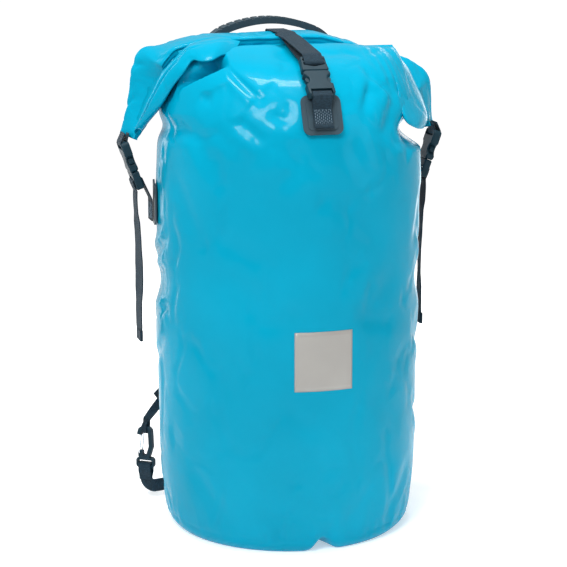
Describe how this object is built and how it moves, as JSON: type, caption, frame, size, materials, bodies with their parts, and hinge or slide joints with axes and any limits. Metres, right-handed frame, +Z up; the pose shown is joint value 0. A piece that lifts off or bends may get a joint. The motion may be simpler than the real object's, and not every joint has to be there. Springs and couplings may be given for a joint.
{
  "type": "dry bag",
  "caption": "Tall cylindrical roll-top dry bag with a front buckle strap, side compression buckles, a ribbed carry handle and clip-on padded shoulder straps.",
  "frame": {"origin": "centre of the flat base, on the floor", "axes": "+Z up the bag, -Y out of the front that carries the label and the front buckle, +X to the right seen from the front"},
  "size_m": [0.4298, 0.3876, 0.653],
  "materials": {
    "coated_fabric": "glossy waterproof coating over woven fabric",
    "webbing": "ribbed woven webbing, matte",
    "hardware": "moulded, satin",
    "moulded_patch": "moulded flexible plate, satin",
    "grip_rubber": "ribbed moulded grip, matte",
    "label": "plain reflective transfer, satin",
    "pad_fabric": "woven cover over foam",
    "gate_wire": "bright wire",
    "stiffener": "flat strip"
  },
  "bodies": {
    "bag": {"back_patch": "moulded_patch", "back_seam_strip": "coated_fabric", "bag_base": "coated_fabric", "bag_body": "coated_fabric", "clip_anchor_webbing_left": "webbing", "clip_anchor_webbing_right": "webbing", "clip_patch_left": "moulded_patch", "clip_patch_right": "moulded_patch", "closure_stiffener_back": "stiffener", "closure_stiffener_front": "stiffener", "front_anchor_webbing": "webbing", "front_buckle_housing": "hardware", "front_patch": "moulded_patch", "handle_patch_left": "moulded_patch", "handle_patch_right": "moulded_patch", "handle_tab_left": "webbing", "handle_tab_right": "webbing", "left_buckle_housing": "hardware", "neck_fold_left": "coated_fabric", "neck_fold_right": "coated_fabric", "reflective_label": "label", "right_buckle_housing": "hardware", "roll_end_loop_left": "webbing", "roll_end_loop_right": "webbing", "rolled_closure": "coated_fabric", "shoulder_strap_root_left": "webbing", "shoulder_strap_root_right": "webbing", "shoulder_yoke_patch": "moulded_patch", "side_anchor_webbing_left": "webbing", "side_anchor_webbing_right": "webbing", "side_patch_left": "moulded_patch", "side_patch_right": "moulded_patch", "top_strap": "webbing"},
    "front_tongue": {"front_buckle_tongue": "hardware"},
    "front_latch_a": {"front_buckle_latch_a": "hardware"},
    "front_latch_b": {"front_buckle_latch_b": "hardware"},
    "left_tongue": {"left_buckle_tongue": "hardware"},
    "left_latch_a": {"left_buckle_latch_a": "hardware"},
    "left_latch_b": {"left_buckle_latch_b": "hardware"},
    "right_tongue": {"right_buckle_tongue": "hardware"},
    "right_latch_a": {"right_buckle_latch_a": "hardware"},
    "right_latch_b": {"right_buckle_latch_b": "hardware"},
    "left_tail": {"side_strap_tail_left": "webbing"},
    "right_tail": {"side_strap_tail_right": "webbing"},
    "handle": {"carry_handle_grip": "grip_rubber"},
    "pad_left": {"shoulder_pad_left": "pad_fabric", "adjuster_tab_left": "webbing", "strap_adjuster_left": "hardware", "strap_webbing_left": "webbing"},
    "clip_left": {"clip_body_left": "hardware"},
    "gate_left": {"clip_gate_left": "gate_wire"},
    "pad_right": {"shoulder_pad_right": "pad_fabric", "adjuster_tab_right": "webbing", "strap_adjuster_right": "hardware", "strap_webbing_right": "webbing"},
    "clip_right": {"clip_body_right": "hardware"},
    "gate_right": {"clip_gate_right": "gate_wire"}
  },
  "joints": [
    {"name": "front_tongue_slide", "type": "slide", "parent": "bag", "child": "front_tongue", "axis": [0, 0.7651, 0.644], "range_m": [0, 0.024], "deforming": ["top_strap", "front_buckle_latch_a", "front_buckle_latch_b"]},
    {"name": "front_latch_a_pinch", "type": "hinge", "parent": "front_tongue", "child": "front_latch_a", "pos_m": [0.01, -0.12636, 0.60087], "axis": [0, 0.644, -0.7651], "range_deg": [0, 7], "stiffness_Nm_per_rad": 1},
    {"name": "front_latch_b_pinch", "type": "hinge", "parent": "front_tongue", "child": "front_latch_b", "pos_m": [-0.01, -0.12636, 0.60087], "axis": [0, -0.644, 0.7651], "range_deg": [0, 7], "stiffness_Nm_per_rad": 1},
    {"name": "left_tongue_slide", "type": "slide", "parent": "bag", "child": "left_tongue", "axis": [0.3256, 0, -0.9455], "range_m": [0, 0.024], "deforming": ["side_anchor_webbing_left", "left_buckle_latch_a", "left_buckle_latch_b"]},
    {"name": "left_latch_a_pinch", "type": "hinge", "parent": "left_tongue", "child": "left_latch_a", "pos_m": [-0.19714, 0.038, 0.46765], "axis": [0.9455, 0, 0.3256], "range_deg": [0, 7], "stiffness_Nm_per_rad": 1},
    {"name": "left_latch_b_pinch", "type": "hinge", "parent": "left_tongue", "child": "left_latch_b", "pos_m": [-0.19714, 0.018, 0.46765], "axis": [-0.9455, 0, -0.3256], "range_deg": [0, 7], "stiffness_Nm_per_rad": 1},
    {"name": "right_tongue_slide", "type": "slide", "parent": "bag", "child": "right_tongue", "axis": [-0.3256, 0, -0.9455], "range_m": [0, 0.024], "deforming": ["side_anchor_webbing_right", "right_buckle_latch_a", "right_buckle_latch_b"]},
    {"name": "right_latch_a_pinch", "type": "hinge", "parent": "right_tongue", "child": "right_latch_a", "pos_m": [0.19714, 0.018, 0.46765], "axis": [-0.9455, 0, 0.3256], "range_deg": [0, 7], "stiffness_Nm_per_rad": 1},
    {"name": "right_latch_b_pinch", "type": "hinge", "parent": "right_tongue", "child": "right_latch_b", "pos_m": [0.19714, 0.038, 0.46765], "axis": [0.9455, 0, -0.3256], "range_deg": [0, 7], "stiffness_Nm_per_rad": 1},
    {"name": "left_tail_swing", "type": "hinge", "parent": "left_tongue", "child": "left_tail", "pos_m": [-0.19375, 0.028, 0.44122], "axis": [0, 1, 0], "range_deg": [0, 45]},
    {"name": "right_tail_swing", "type": "hinge", "parent": "right_tongue", "child": "right_tail", "pos_m": [0.19375, 0.028, 0.44122], "axis": [0, -1, 0], "range_deg": [0, 45]},
    {"name": "handle_fold", "type": "hinge", "parent": "bag", "child": "handle", "pos_m": [0, 0.099, 0.604], "axis": [-1, 0, 0], "range_deg": [-12, 80], "deforming": ["handle_tab_left", "handle_tab_right"]},
    {"name": "pad_left_lift", "type": "hinge", "parent": "bag", "child": "pad_left", "pos_m": [-0.05204, 0.17022, 0.466], "axis": [0.9563, 0.2924, 0], "range_deg": [0, 12], "deforming": ["strap_webbing_left"]},
    {"name": "clip_left_swing", "type": "hinge", "parent": "bag", "child": "clip_left", "pos_m": [-0.16793, 0.11758, 0.0446], "axis": [-0.8192, 0.5736, 0], "range_deg": [-15, 15], "deforming": ["strap_webbing_left"]},
    {"name": "gate_left_press", "type": "hinge", "parent": "clip_left", "child": "gate_left", "pos_m": [-0.17407, 0.12188, 0.064], "axis": [0.5736, 0.8192, 0], "range_deg": [0, 20], "stiffness_Nm_per_rad": 0.05, "springref_deg": -11.46},
    {"name": "pad_right_lift", "type": "hinge", "parent": "bag", "child": "pad_right", "pos_m": [0.05204, 0.17022, 0.466], "axis": [0.9563, -0.2924, 0], "range_deg": [0, 12], "deforming": ["strap_webbing_right"]},
    {"name": "clip_right_swing", "type": "hinge", "parent": "bag", "child": "clip_right", "pos_m": [0.16793, 0.11758, 0.0446], "axis": [0.8192, 0.5736, 0], "range_deg": [-15, 15], "deforming": ["strap_webbing_right"]},
    {"name": "gate_right_press", "type": "hinge", "parent": "clip_right", "child": "gate_right", "pos_m": [0.17407, 0.12188, 0.064], "axis": [0.5736, -0.8192, 0], "range_deg": [0, 20], "stiffness_Nm_per_rad": 0.05, "springref_deg": -11.46}
  ],
  "couplings": [
    {"joint": "front_latch_b_pinch", "follows": "front_latch_a_pinch", "ratio": 1},
    {"joint": "left_latch_b_pinch", "follows": "left_latch_a_pinch", "ratio": 1},
    {"joint": "right_latch_b_pinch", "follows": "right_latch_a_pinch", "ratio": 1}
  ]
}
